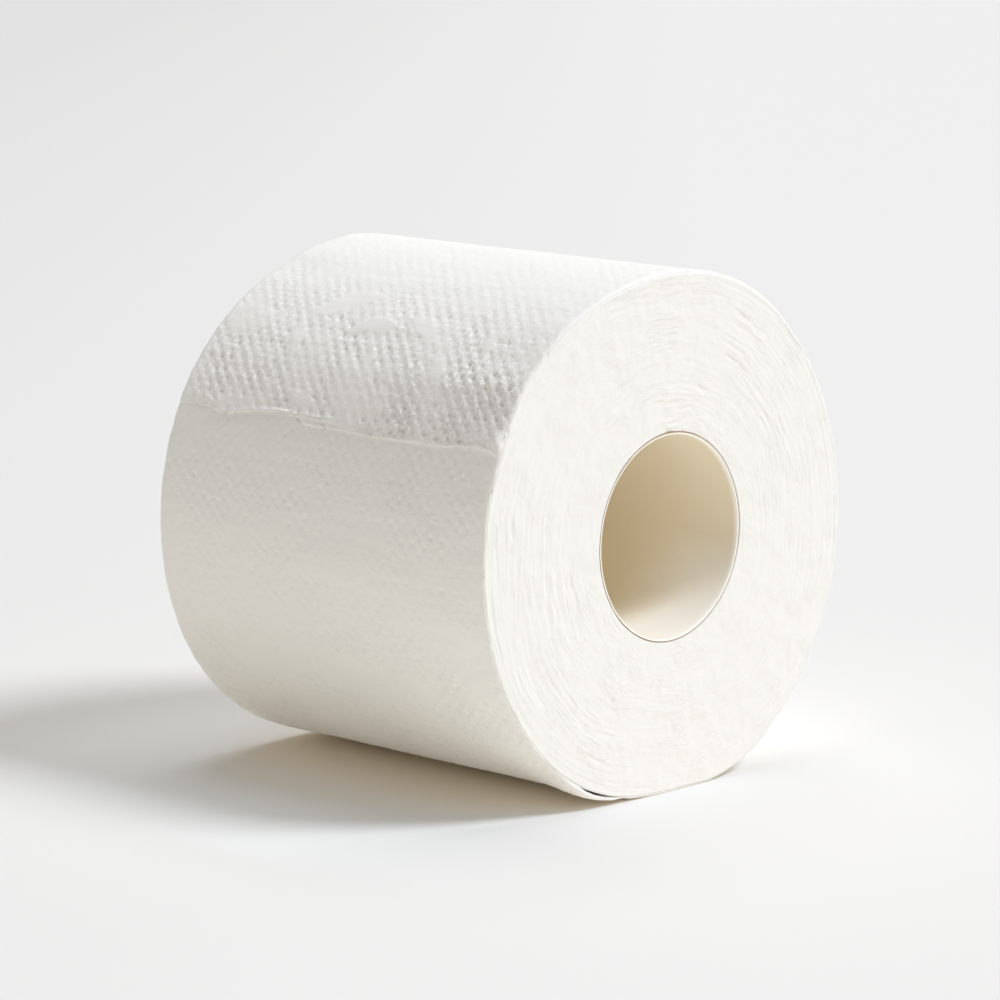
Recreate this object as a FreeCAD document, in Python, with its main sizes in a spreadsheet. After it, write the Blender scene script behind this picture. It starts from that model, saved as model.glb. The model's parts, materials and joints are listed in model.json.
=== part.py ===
"""Toilet paper roll: a cardboard core tube with a long web of embossed tissue wound on it.

The roll lies on its side. Its axis runs along Y, the front end face looks along -Y, +Z is up, and the
origin is the middle of the small flat that the soft roll rests on. Lengths are in millimetres and angles
in degrees. An angle around the roll is taken in the XZ plane, from +X towards +Z.

The wound tissue is one solid. Its outside is a true spiral: the outermost turn ends in a tail, and there
the outside steps in by the thickness of one sheet. At the front end, low down, the outermost layers have
come loose and stand off the turns below them, which leaves a lens-shaped gap.
"""

import FreeCAD, Part
import os
import math
from FreeCAD import Placement, Rotation, Vector
import Sketcher

ORIGIN = -1                        # Sketcher's own number for a sketch's root point and axes
START, END, CENTRE = 1, 2, 3       # and for the places on a line or an arc


# ---------------------------------------------------------------- driving dimensions

DIMENSIONS = [
    ("roll_radius", "56", "radius of the outermost turn where it ends, at the tail"),
    ("roll_width", "96", "length of the roll along its axis, which is the sheet's width"),
    ("sheet_thickness", "0.45", "one embossed two-ply sheet, as thick as it stands at the tail"),
    ("tail_angle", "154", "where the outermost turn ends"),
    ("flat_width", "25", "width of the flat that the roll's weight presses into the soft turns"),
    ("core_bore_radius", "21.5", "inside of the cardboard core"),
    ("core_wall", "0.65", "wall of the cardboard core"),
    ("bulge_angle", "244", "middle of the place low at the front end where loose layers stand off"),
    ("bulge_span", "23", "how far round the roll they do"),
    ("bulge_lift", "1.1", "how far their outside stands off"),
    ("gap_angle", "246.5", "middle of the gap under the loose layers"),
    ("gap_span", "13", "how far round the roll it reaches"),
    ("gap_height", "0.5", "how far it opens"),
    ("loose_depth", "14", "how far the bulge and the gap run in from the front end"),
]

DERIVED = [
    ("core_outer_radius", "=core_bore_radius + core_wall", "the core's outside, on which the web starts"),
    ("quarter_step", "=sheet_thickness / 4", "what the spiral's radius loses in a quarter turn"),
    ("axis_height",
     "=sqrt((roll_radius - 2 * quarter_step)^2 - (flat_width / 2)^2)"
     " - quarter_step * (sin(tail_angle - 90) + sin(tail_angle - 180))",
     "from the flat up to the roll's axis"),
]


def write_sheet(doc):
    """Put every dimension in a spreadsheet, one to a row, with its alias and what it is."""
    sheet = doc.addObject("Spreadsheet::Sheet", "Sizes")
    for row, (alias, value, meaning) in enumerate(DIMENSIONS + DERIVED, start=1):
        sheet.set(f"A{row}", alias)
        sheet.set(f"B{row}", value)
        sheet.set(f"C{row}", meaning)
        sheet.setAlias(f"B{row}", alias)
    doc.recompute()
    return sheet


# ---------------------------------------------------------------- helpers

def cross_section(body, name, forward="0"):
    """A sketch across the roll with its root point on the axis, `forward` of the middle of the roll."""
    plane = next(p for p in body.Origin.OriginFeatures if p.Role == "XZ_Plane")
    sketch = body.newObject("Sketcher::SketchObject", name)
    sketch.AttachmentSupport = [(plane, "")]
    sketch.MapMode = "FlatFace"
    sketch.setExpression("AttachmentOffset.Base.y", "Sizes.axis_height")
    sketch.setExpression("AttachmentOffset.Base.z", forward)
    return sketch


def constrain(sketch, formula, *constraint):
    """Add one constraint and, if it has a size, bind the size to a formula of the sheet's values."""
    index = sketch.addConstraint(Sketcher.Constraint(*constraint))
    if formula:
        sketch.setExpression(f"Constraints[{index}]", formula)


def pad_across(body, name, sketch):
    """Pad a cross-section by the roll's width, half to each side of the middle."""
    pad = body.newObject("PartDesign::Pad", name)
    pad.Profile = sketch
    pad.SideType = "Symmetric"
    pad.setExpression("Length", "Sizes.roll_width")
    return pad


def circle_about_axis(sketch, radius_formula, radius):
    """A full circle about the roll's axis."""
    circle = sketch.addGeometry(Part.Circle(Vector(0, 0, 0), Vector(0, 0, 1), radius))
    constrain(sketch, None, "Coincident", circle, CENTRE, ORIGIN, 1)
    constrain(sketch, radius_formula, "Radius", circle, radius)


def on_circle(centre, radius, angle):
    """The point of a circle at an angle."""
    turn = math.radians(angle)
    return centre + Vector(radius * math.cos(turn), radius * math.sin(turn), 0)


# ---------------------------------------------------------------- the core

def make_core(doc, sheet):
    """The cardboard tube that the tissue is wound on, flush with both ends of the roll."""
    body = doc.addObject("PartDesign::Body", "core_tube")
    body.Label = "core_tube"
    section = cross_section(body, "core_section")
    circle_about_axis(section, "Sizes.core_outer_radius", sheet.core_outer_radius)
    circle_about_axis(section, "Sizes.core_bore_radius", sheet.core_bore_radius)
    pad_across(body, "core_length", section)
    return body


# ---------------------------------------------------------------- the wound tissue

def draw_spiral_turn(sketch, sheet):
    """One turn of the spiral: four tangent quarter arcs, each a step smaller, and the step at the tail.

    The first arc starts at the tail, about the roll's axis. Each next arc is a quarter step smaller and
    touches the one before it, so that after a whole turn the outline has come in by one sheet.
    """
    step = sheet.quarter_step
    centre = Vector(0, 0, 0)
    arcs = []
    for quarter in range(4):
        radius = sheet.roll_radius - quarter * step
        late = sheet.tail_angle - 90 * quarter
        early = late - 90
        circle = Part.Circle(centre, Vector(0, 0, 1), radius)
        arcs.append(sketch.addGeometry(
            Part.ArcOfCircle(circle, math.radians(early % 360), math.radians(early % 360 + 90))))
        constrain(sketch, f"Sizes.roll_radius - {quarter} * Sizes.quarter_step",
                  "Radius", arcs[quarter], radius)
        centre = on_circle(centre, step, early)

    origin = Vector(0, 0, 0)
    outer_end = on_circle(origin, sheet.roll_radius, sheet.tail_angle)
    inner_end = on_circle(origin, sheet.roll_radius - sheet.sheet_thickness, sheet.tail_angle)
    tail = sketch.addGeometry(Part.LineSegment(inner_end, outer_end))

    constrain(sketch, None, "Coincident", arcs[0], CENTRE, ORIGIN, 1)
    constrain(sketch, None, "Coincident", tail, END, arcs[0], END)
    constrain(sketch, None, "PointOnObject", ORIGIN, 1, tail)
    constrain(sketch, "Sizes.sheet_thickness", "Distance", tail, sheet.sheet_thickness)
    constrain(sketch, "Sizes.tail_angle * 1 deg", "Angle", tail, math.radians(sheet.tail_angle))
    for quarter in (0, 1):
        constrain(sketch, None, "Angle", arcs[quarter], math.radians(90))
    for quarter in (0, 1, 2):
        constrain(sketch, None, "Tangent", arcs[quarter], START, arcs[quarter + 1], END)
    constrain(sketch, None, "Coincident", arcs[3], START, tail, START)


def press_flat(body):
    """Cut the flat that the soft roll rests on, straight across the bottom of the finished turns."""
    sketch = cross_section(body, "flat_section")
    corners = [Vector(-40, -90, 0), Vector(40, -90, 0), Vector(40, -55, 0), Vector(-40, -55, 0)]
    sides = [sketch.addGeometry(Part.LineSegment(corners[side - 1], corners[side])) for side in range(4)]
    left, bottom, right, top = sides
    for side in range(4):
        constrain(sketch, None, "Coincident", sides[side - 1], END, sides[side], START)
    for side in (bottom, top):
        constrain(sketch, None, "Horizontal", side)
    for side in (left, right):
        constrain(sketch, None, "Vertical", side)
    constrain(sketch, "Sizes.axis_height", "DistanceY", top, START, ORIGIN, 1, 55)
    constrain(sketch, "Sizes.roll_radius", "DistanceY", bottom, START, top, END, 35)
    constrain(sketch, "Sizes.roll_radius", "DistanceX", ORIGIN, 1, right, START, 40)
    constrain(sketch, "Sizes.roll_radius", "DistanceX", left, START, ORIGIN, 1, 40)
    pocket = body.newObject("PartDesign::Pocket", "resting_flat")
    pocket.Profile = sketch
    pocket.SideType = "Symmetric"
    pocket.setExpression("Length", "2 * Sizes.roll_width")
    return pocket


def outside_at(angle):
    """Formula for the radius of the roll's outside at an angle past the tail: a sheet less in a turn."""
    return f"(Sizes.roll_radius - Sizes.sheet_thickness * (Sizes.tail_angle + 360 - {angle}) / 360)"


def lens(body, name, forward, place, inner, base, crown):
    """A lens across the roll: an arc about the roll's axis, and a rounder arc that bulges over it.

    `place` is the word that its angle and span in the sheet start with, bulge or gap. `inner` is the
    radius of the arc about the axis, `base` the radius of the bulging arc's two ends and `crown` its
    radius in the middle. Short radial sides join the two arcs.
    """
    sketch = cross_section(body, name, forward)
    evaluate = body.Document.getObject("Sizes").evalExpression
    angle = f"Sizes.{place}_angle"
    half_span = f"Sizes.{place}_span / 2"
    middle = float(evaluate(angle))
    half = float(evaluate(half_span))
    inner_radius, base_radius, crown_radius = (float(evaluate(r)) for r in (inner, base, crown))
    origin = Vector(0, 0, 0)

    hull = Part.Arc(on_circle(origin, base_radius, middle - half),
                    on_circle(origin, crown_radius, middle),
                    on_circle(origin, base_radius, middle + half))
    floor = Part.Arc(on_circle(origin, inner_radius, middle - half),
                     on_circle(origin, inner_radius, middle),
                     on_circle(origin, inner_radius, middle + half))
    bulge = sketch.addGeometry(hull)
    bed = sketch.addGeometry(floor)
    sides = []
    for corner in (START, END):
        side = Part.LineSegment(sketch.getPoint(bed, corner), sketch.getPoint(bulge, corner))
        sides.append(sketch.addGeometry(side))

    constrain(sketch, None, "Coincident", bed, CENTRE, ORIGIN, 1)
    constrain(sketch, inner, "Radius", bed, inner_radius)
    for side, corner, sign in ((sides[0], START, "-"), (sides[1], END, "+")):
        reach = f"({angle} {sign} {half_span})"
        constrain(sketch, None, "Coincident", side, START, bed, corner)
        constrain(sketch, None, "Coincident", side, END, bulge, corner)
        end = sketch.getPoint(bulge, corner)
        constrain(sketch, f"{base} * cos({reach})", "DistanceX", ORIGIN, 1, bulge, corner, end.x)
        constrain(sketch, f"{base} * sin({reach})", "DistanceY", ORIGIN, 1, bulge, corner, end.y)
        constrain(sketch, None, "PointOnObject", ORIGIN, 1, side)
    half_chord = f"({base} * sin({half_span}))"
    rise = f"({crown} - {base} * cos({half_span}))"
    bulge_radius = sketch.Geometry[bulge].Radius
    constrain(sketch, f"({half_chord}^2 + {rise}^2) / (2 * {rise})", "Radius", bulge, bulge_radius)
    return sketch


def loft_in_from_front(body, kind, name, front, back):
    """A loft from a section on the front end face to one at `loose_depth`."""
    loft = body.newObject(kind, name)
    loft.Profile = front
    loft.Sections = [back]
    loft.Ruled = True
    return loft


def loosen_layers(body):
    """Bulge the outermost layers at the front end, then open a gap under them.

    The bulge fades below the outside of the roll, and the gap fades to a slit, at `loose_depth`.
    """
    at_front = "Sizes.roll_width / 2"
    inside = "Sizes.roll_width / 2 - Sizes.loose_depth"
    sheet = "Sizes.sheet_thickness"

    outside = outside_at("Sizes.bulge_angle")
    bulge_front = lens(body, "bulge_front", at_front, "bulge",
                       f"({outside} - {sheet} / 2)", outside, f"({outside} + Sizes.bulge_lift)")
    bulge_back = lens(body, "bulge_back", inside, "bulge",
                      f"({outside} - {sheet} / 2)", f"({outside} - {sheet} / 4)",
                      f"({outside} - {sheet} / 5)")
    loft_in_from_front(body, "PartDesign::AdditiveLoft", "bulge", bulge_front, bulge_back)

    under = f"({outside_at('Sizes.gap_angle')} - {sheet})"
    gap_front = lens(body, "gap_front", at_front, "gap",
                     f"({under} - {sheet} / 8)", under, f"({under} + Sizes.gap_height)")
    gap_back = lens(body, "gap_back", inside, "gap",
                    f"({under} - {sheet} / 8)", under, f"({under} + {sheet} / 8)")
    return loft_in_from_front(body, "PartDesign::SubtractiveLoft", "gap", gap_front, gap_back)


def make_winding(doc, sheet):
    """All the turns of tissue as one solid, with the bore that the core fills."""
    body = doc.addObject("PartDesign::Body", "tissue_winding")
    body.Label = "tissue_winding"
    section = cross_section(body, "turns_section")
    draw_spiral_turn(section, sheet)
    circle_about_axis(section, "Sizes.core_outer_radius", sheet.core_outer_radius)
    pad_across(body, "turns", section)

    gap = loosen_layers(body)
    doc.recompute()
    if not gap.Shape.Volume < gap.BaseFeature.Shape.Volume:
        raise RuntimeError("the gap under the loose layers cut nothing away")

    flat = press_flat(body)
    doc.recompute()
    if not flat.Shape.Volume < gap.Shape.Volume:
        raise RuntimeError("the resting flat cut nothing away")
    return body


# ---------------------------------------------------------------- the document

def check(doc, bodies):
    """Stop before anything is written if a feature failed or a solid isn't sound."""
    for thing in doc.Objects:
        if {"Invalid", "Error"} & set(thing.State):
            raise RuntimeError(f"{thing.Label} failed: {thing.State}")
    for body in bodies:
        shape = body.Shape
        if shape.isNull() or not shape.isValid() or len(shape.Solids) != 1:
            raise RuntimeError(f"{body.Label} isn't one sound solid")


def main():
    """Build the roll and write each of its pieces."""
    doc = FreeCAD.newDocument("toilet_paper_roll")
    sheet = write_sheet(doc)
    bodies = [make_core(doc, sheet), make_winding(doc, sheet)]
    doc.recompute()
    check(doc, bodies)
    os.makedirs("parts", exist_ok=True)
    for body in bodies:
        body.Shape.exportStep(f"parts/{body.Label}.step")
        box = body.Shape.BoundBox
        print(f"{body.Label}: {body.Shape.Volume:.1f} mm3,"
              f" X {box.XMin:.3f} to {box.XMax:.3f},"
              f" Y {box.YMin:.3f} to {box.YMax:.3f},"
              f" Z {box.ZMin:.3f} to {box.ZMax:.3f}")


main()
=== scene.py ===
# %% [markdown]
# # A toilet paper roll on its side
#
# A roll of bathroom tissue is one long web of soft two-ply paper wound on a cardboard core. Nearly all of
# what the eye reads on it is relief: rows of embossed dots on the outside, the edges of a couple of
# hundred turns on the ends, the step where the web ends, and a gentle flattening, because it is soft.
# So this lesson spends its polygons on real relief and keeps the materials simple, though painted light
# and shade stand in the core's, the floor's and the cut ends' colours.

# %% Load the imported part
import json
import math

import bpy
import numpy as np
from mathutils import Matrix, Vector


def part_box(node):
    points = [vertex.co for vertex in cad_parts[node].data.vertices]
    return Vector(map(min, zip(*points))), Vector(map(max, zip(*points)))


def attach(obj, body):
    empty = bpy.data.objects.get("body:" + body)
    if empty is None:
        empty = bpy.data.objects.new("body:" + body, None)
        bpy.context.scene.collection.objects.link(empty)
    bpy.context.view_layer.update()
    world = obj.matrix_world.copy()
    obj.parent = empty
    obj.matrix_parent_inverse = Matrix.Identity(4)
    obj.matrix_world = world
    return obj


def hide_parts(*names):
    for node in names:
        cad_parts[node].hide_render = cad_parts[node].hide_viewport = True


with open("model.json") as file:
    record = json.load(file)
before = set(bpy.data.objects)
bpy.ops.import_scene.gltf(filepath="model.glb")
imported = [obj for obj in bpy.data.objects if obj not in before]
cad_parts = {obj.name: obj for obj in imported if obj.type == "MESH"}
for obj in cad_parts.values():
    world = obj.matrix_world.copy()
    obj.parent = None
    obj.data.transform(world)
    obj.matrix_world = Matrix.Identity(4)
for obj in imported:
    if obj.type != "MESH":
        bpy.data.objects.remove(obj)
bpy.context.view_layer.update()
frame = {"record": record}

# %% [markdown]
# ## Sizes
#
# The construction model gives the axis, the width and the two radii. What only the eye needs, such as the
# spacing of the embossed dots, is set here. Shapes are worked out in millimetres and go into the meshes
# in metres. The roll's axis runs along Y, and its front end looks along -Y. An angle round the roll is in
# degrees, from +X towards +Z, and the web's tail lies at TAIL_ANGLE. A place on the web is its distance
# back from the tail, which grows over the top of the roll, down the far side and under it.

# %% Sizes
MM = 0.001
winding_low, winding_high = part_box("tissue_winding")
core_low, core_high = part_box("core_tube")
AXIS_HEIGHT = (core_low.z + core_high.z) / 2 / MM
HALF_WIDTH = winding_high.y / MM
CORE_RADIUS = core_high.x / MM
BORE_RADIUS = frame["record"]["mounts"][0]["dims"]["r_mm"]
ROLL_RADIUS = winding_high.z / MM - AXIS_HEIGHT

SHEET = 0.45                  # how thick one embossed sheet stands at its free edge
TAIL_ANGLE = 154.0            # where the web ends
MEAN_RADIUS = ROLL_RADIUS - SHEET / 2
DOT_CELL = 3.3                # side of the square that the embossed dots repeat on
GRID = DOT_CELL / 9           # mesh spacing of the outermost turn: nine steps to a cell
SHEET_PITCH = 320 * GRID      # from one line of perforation to the next, about 117 mm
print(f"axis at {AXIS_HEIGHT:.2f}, radius {ROLL_RADIUS:.2f}, width {2 * HALF_WIDTH:.1f},"
      f" core {CORE_RADIUS:.2f}, bore {BORE_RADIUS:.2f}, sheets {SHEET_PITCH:.2f} apart")

# %% [markdown]
# ## Noise and small helpers
#
# Paper is never quite regular. All the randomness here comes from one function, a value noise: random
# numbers on a coarse grid, blended smoothly in between. It takes whole arrays, and a fixed seed gives the
# same paper every time. `wrap` makes the noise close on itself round the roll. The other helpers are the
# few curves that shape everything: a smooth ramp, a bell, and a bell that goes round the roll.

# %% Noise
def blend(t):
    """Smooth step from 0 to 1: 6t^5 - 15t^4 + 10t^3, with t clipped to that range."""
    t = np.clip(t, 0.0, 1.0)
    return t * t * t * (t * (6 * t - 15) + 10)


def noise(u, v, seed, wrap=None):
    """Value noise of two coordinates, about -1 to 1, changing over about one unit.

    Random heights stand on the whole numbers. Between them the height is blended with the smooth step
    in u and then in v. With `wrap`, whole numbers of u that differ by it share their heights.
    """
    size = 256
    heights = np.random.default_rng(seed).uniform(-1, 1, (size, size))
    u, v = np.broadcast_arrays(np.asarray(u, float), np.asarray(v, float))
    column, row = np.floor(u).astype(int), np.floor(v).astype(int)
    across, along = blend(u - column), blend(v - row)
    period = wrap or size
    left, right = column % period % size, (column + 1) % period % size
    low, high = row % size, (row + 1) % size
    near = heights[left, low] * (1 - across) + heights[right, low] * across
    far = heights[left, high] * (1 - across) + heights[right, high] * across
    return near * (1 - along) + far * along


def ramp(value, start, end):
    """0 up to `start`, 1 from `end` on, and the smooth step between. `start` may be the larger."""
    return blend((value - start) / (end - start))


def bell(value, middle, width):
    """A bell: exp(-(d / width)^2), where d is the distance from `middle`."""
    return np.exp(-((value - middle) / width) ** 2)


def wrapped(value, period):
    """The value brought within half a period of 0 by whole periods."""
    return (value + period / 2) % period - period / 2


def bump(angle, middle, width):
    """A bell round the roll, which takes the shorter way round from `middle`, in degrees."""
    return bell(wrapped(angle - middle, 360.0), 0.0, width)


def spread(values, like):
    """`values` repeated over the shape that they have together with `like`."""
    return np.broadcast_to(values, np.broadcast_shapes(np.shape(values), np.shape(like))).copy()


print("noise runs from", noise(np.arange(99) / 7, 0.3, 1).min().round(2),
      "to", noise(np.arange(99) / 7, 0.3, 1).max().round(2))

# %% [markdown]
# ## From a place on the roll to a point in space
#
# Every surface of the winding goes through `to_space`, so that all layers share one shape. The roll is not
# a true cylinder. It was squeezed in its pack, which left broad shallow flats, and it is pressed flat
# where it rests. The pressing is a soft limit on how low a point may come, so the layers stay in order
# there: an inner layer's limit is higher by what lies below it.

# %% The roll's soft shape
BELLS = [
    # angle round the roll, width of the bell, height in mm at the front end, height at the far end
    (28, 26, -0.6, -0.75),
    (86, 24, -0.45, 1.3),
    (103, 27, -1.6, -0.9),
    (113, 49, 0.5, -1.3),
    (142, 5, 0.7, -0.3),
    (209, 20, 0.2, 0.5),
    (267, 20, -1.65, -3.0),
    (297, 10, 0.6, 0.15),
    (357, 46, -0.65, -1.45),
]
FULLNESS = (0.8, 0.77)        # how far the roll stands out between its flats, front end and far end
FLOOR_SOFTNESS = 0.3          # how softly the floor's limit sets in, in mm


def out_of_round(angle, y):
    """Height of the soft roll's outside over a true cylinder: its fullness and a bell for each flat.

    Each number goes evenly from its value at the front end to its value at the far end. A little noise
    on top of the bells keeps the outline from being too regular, most of all near the ends.
    """
    far = np.clip((y + HALF_WIDTH) / (2 * HALF_WIDTH), 0, 1)
    height = FULLNESS[0] + (FULLNESS[1] - FULLNESS[0]) * far
    for middle, width, near_height, far_height in BELLS:
        height = height + bump(angle, middle, width) * (near_height + (far_height - near_height) * far)
    near_an_end = 0.5 + 0.5 * ramp(np.abs(y), HALF_WIDTH - 14, HALF_WIDTH)
    return height + near_an_end * (0.16 * noise(angle / 8, y / 19, 3, wrap=45)
                                   + 0.05 * noise(angle / 3, y / 9, 4, wrap=120))


def to_space(angle, radius, y, floor):
    """Points from angle, radius and y: out from the axis, then lifted off the floor by a soft limit.

    The limit is z = floor + (d + sqrt(d^2 + k^2)) / 2, where d is how far the point was above it and k
    is FLOOR_SOFTNESS.
    """
    turn = np.radians(angle)
    full = radius + out_of_round(angle, y) * ramp(radius, CORE_RADIUS, ROLL_RADIUS - 4)
    x = full * np.cos(turn)
    above = AXIS_HEIGHT + full * np.sin(turn) - floor
    z = floor + (above + np.sqrt(above ** 2 + FLOOR_SOFTNESS ** 2)) / 2
    return np.stack(np.broadcast_arrays(x, y, z), -1)


# %% [markdown]
# ## Grids to meshes
#
# Each surface is a grid of points. `grid_faces` joins the grid into quads, closing it in either direction
# where the surface comes round to meet itself, and `make_piece` hands the arrays to Blender in one go.

# %% Grids to meshes
def grid_faces(rows, columns, close_rows=False, close_columns=False):
    """Quads of a grid of points numbered row by row, as an array of four corners each."""
    row = np.arange(rows if close_rows else rows - 1)[:, None]
    column = np.arange(columns if close_columns else columns - 1)[None, :]
    next_row, next_column = (row + 1) % rows, (column + 1) % columns
    corners = [row * columns + column, row * columns + next_column,
               next_row * columns + next_column, next_row * columns + column]
    return np.stack(np.broadcast_arrays(*corners), -1).reshape(-1, 4)


def make_piece(name, points, quads, triangles=(), smooth=True, places=None):
    """A mesh object from points in mm and faces, with its place in its vertices.

    `places` are three numbers in mm for each point, kept as an attribute that the materials can read:
    where the point is on the web, rather than in space.
    """
    mesh = bpy.data.meshes.new(name)
    quads = np.asarray(quads, int).reshape(-1, 4)
    triangles = np.asarray(triangles, int).reshape(-1, 3)
    corners = np.concatenate([quads.ravel(), triangles.ravel()])
    starts = np.concatenate([np.arange(len(quads)) * 4, len(quads) * 4 + np.arange(len(triangles)) * 3])
    mesh.vertices.add(len(points))
    mesh.vertices.foreach_set("co", (np.asarray(points) * MM).astype(np.float32).ravel())
    mesh.loops.add(len(corners))
    mesh.loops.foreach_set("vertex_index", corners.astype(np.int32))
    mesh.polygons.add(len(starts))
    mesh.polygons.foreach_set("loop_start", starts.astype(np.int32))
    mesh.polygons.foreach_set("use_smooth", np.full(len(starts), smooth))
    mesh.update(calc_edges=True)
    mesh.validate()
    if places is not None:
        place = mesh.attributes.new("web_place", "FLOAT_VECTOR", "POINT")
        place.data.foreach_set("vector", (np.asarray(places) * MM).astype(np.float32).ravel())
    piece = bpy.data.objects.new(name, mesh)
    bpy.context.scene.collection.objects.link(piece)
    print(f"{name}: {len(points)} points, {2 * len(quads) + len(triangles)} triangles")
    return piece


# %% [markdown]
# ## The embossing
#
# Steel rollers press rows of small dots into the tissue and bond its plies there. Each dot is a round pit
# about a millimetre across, and the paper between pits puffs up a little. The dots stand on a square grid
# turned by 45 degrees, which is the same as two upright grids, one shifted by half a cell. Here and there
# a curved patch like a blade of grass has no dots, and some patches have a raised line along their outer
# curve. The paper is soft, so no two pits are the same: each is shifted, and shallower or deeper.

# %% Where the web has no dots
MOTIF = (49.5, 105.6)         # the bare patches repeat after this far along the web and across it, in mm
BLADES = [
    # middle along and across, radius of its curve, direction that it bulges in, half span, half width,
    # height of the raised line
    (30, 17, 30, 29, 20, 2.9, 0.0),
    (24, 4, 13, 14, 32, 1.9, 0.14),
    (19, 23, 40, 293, 11, 1.5, 0.0),
    (25, -11, 10, 330, 34, 2.3, 0.0),
    (15, -22, 12, 309, 22, 1.5, 0.0),
    (15, -1.5, 20, 270, 9, 1.4, 0.0),
    (24, 47, 16, 330, 28, 2.2, 0.0),
    (22, -31, 40, 293, 9, 1.1, 0.0),
    (4, 12, 14, 170, 18, 1.6, 0.0),
]


def blades(along, y):
    """Where dots are missing, from 0 to 1, and the height of the raised lines, in mm.

    A blade is the set of points near a circle of its radius, within its half span of the direction that
    it bulges in. Its half width falls with the square of the share of that span. The raised line is a
    bell across the blade's outer edge. All of them repeat with the motif.
    """
    missing = np.zeros(np.broadcast_shapes(np.shape(along), np.shape(y)))
    line = np.zeros(missing.shape)
    for middle, across, radius, facing, half_span, half_width, line_height in BLADES:
        to_along = wrapped(along - middle, MOTIF[0]) + radius * math.cos(math.radians(facing))
        to_y = wrapped(y - across, MOTIF[1]) + radius * math.sin(math.radians(facing))
        swing = wrapped(np.degrees(np.arctan2(to_y, to_along)) - facing, 360)
        width = half_width * (1 - np.clip(swing / half_span, -1, 1) ** 2)
        outwards = np.hypot(to_along, to_y) - radius
        within = ramp(width, 0.0, 0.8)
        missing = np.maximum(missing, ramp(np.abs(outwards), width + 0.9, width - 0.9) * within)
        line = np.maximum(line, line_height * bell(outwards, width, 0.4) * within)
    return missing, line


print("share of the web without dots:",
      blades(np.arange(0, MOTIF[0], 0.5)[:, None], np.arange(0, MOTIF[1], 0.5)[None, :])[0].mean().round(2))

# %% The embossing
PIT_DEPTH = 0.34              # all of these are in mm
PIT_RADIUS = 0.47
PIT_SCATTER = 0.4             # how far a pit may be shifted
PILLOW = 0.05                 # how far the paper puffs up round the pits
BEAD = 0.1                    # how far it stands up where it is furthest from any pit
ROW_GROOVE = 0.06
GRAIN = 0.035                 # fine unevenness of the dotted paper


def emboss(along, y):
    """Height of the embossing in mm: pits of both dot grids, pillows and beads between them, raised lines.

    A pit is a bell that goes down, on a site of one of the grids. The pits of a row that runs askew are
    linked by a shallow groove. All of it is deeper in some patches and in some stretches of these rows
    than in others. Also gives how dotted each place is, from 0 up, for the finer creases that only the
    material shows.
    """
    missing, line = blades(along, y)
    height = np.zeros(missing.shape)
    nearest = np.full(height.shape, np.inf)
    patch = noise(along / 11, y / 8, 11) + 0.5 * noise(along / 4.5, y / 3.5, 12)
    askew = (along - y) / DOT_CELL
    streak = ramp(noise(askew / 2.3, (along + y) / 16, 27), -0.6, 0.6)
    drift = 0.38 + 0.55 * ramp(patch, -0.7, 0.5) + 0.42 * streak
    for grid, shift in enumerate((0.0, 0.5)):
        column = np.round(along / DOT_CELL - shift)
        row = np.round(y / DOT_CELL - shift)
        site_along = (column + shift) * DOT_CELL
        site_y = (row + shift) * DOT_CELL
        off_along = along - site_along - PIT_SCATTER * noise(column * 0.71, row * 0.77, 22 + grid)
        off_y = y - site_y - PIT_SCATTER * noise(column * 0.69, row * 0.73, 24 + grid)
        away = np.hypot(off_along, off_y)
        uneven = 1 + noise(column * 0.73, row * 0.73, 20 + grid)
        strength = (1 - blades(site_along, site_y)[0]) * uneven
        height = height - PIT_DEPTH * strength * drift * bell(away, 0, PIT_RADIUS)
        nearest = np.minimum(nearest, away)
    dotted = 1 - missing
    from_row = np.abs(askew - np.round(askew)) * DOT_CELL / math.sqrt(2)
    linked = ramp(noise(np.round(askew) * 0.63, (along + y) / 17, 26), -0.3, 0.7)
    height = height - ROW_GROOVE * linked * dotted * drift * bell(from_row, 0, 0.5)
    bead = BEAD * ramp(nearest, 1.0, 1.6) * (1 + 1.3 * noise(along / 2.1, y / 2.1, 29))
    pillow = dotted * drift * (PILLOW * (ramp(nearest, 0.4, 1.2) - 0.5) + bead)
    grain = GRAIN * dotted * drift * noise(along / 0.75, y / 0.75, 28)
    return height + pillow + line + grain, dotted * drift


def crumple(along, y):
    """Slow waves of a sheet that lies loosely: long ones, and short ones that run with the axis."""
    slow = 0.16 * noise(along / 17, y / 23, 31) + 0.09 * noise(along / 7, y / 11, 32)
    crease = 0.05 * noise(along / 2.3, y / 9, 33) + 0.04 * noise(along / 1.6, y / 2.6, 34)
    return slow + crease


# %% [markdown]
# ## The outermost turn
#
# The outermost turn is the only one that shows its face. It is made as the three sheets that lie between
# its lines of perforation, each a thin closed shell. A fine grid carries the outer side, a coarse one the
# hidden inner side. The web spirals in, so its radius falls by one sheet in a turn, and the third sheet
# ends under the tail. Low at the front end two layers of the web have come loose together and stand off.
# The tail is torn, not cut, and the two plies do not tear along the same line: for a few centimetres near
# the middle the upper one is torn further back, and the lower one shows as a narrow strip.

# %% Where the outermost turn runs
def angle_at(along):
    """Angle round the roll of a place on the web, going on past a full turn."""
    return TAIL_ANGLE - np.degrees(along / MEAN_RADIUS)


def spiral_radius(along):
    """Radius of the web's outer side: the roll's radius at the tail, a sheet less after each turn."""
    return ROLL_RADIUS - SHEET * along / (2 * np.pi * MEAN_RADIUS)


# The loose layers and the gap under them: height in mm, middle and half span in degrees round the roll,
# and how far they reach in from the front end in mm.
LOOSE_HEIGHT, LOOSE_ANGLE, LOOSE_SPAN, LOOSE_DEPTH = 1.12, 244, 11.5, 16
GAP_HEIGHT, GAP_ANGLE, GAP_SPAN, GAP_DEPTH = 0.55, 246.5, 7.2, 13


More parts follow.
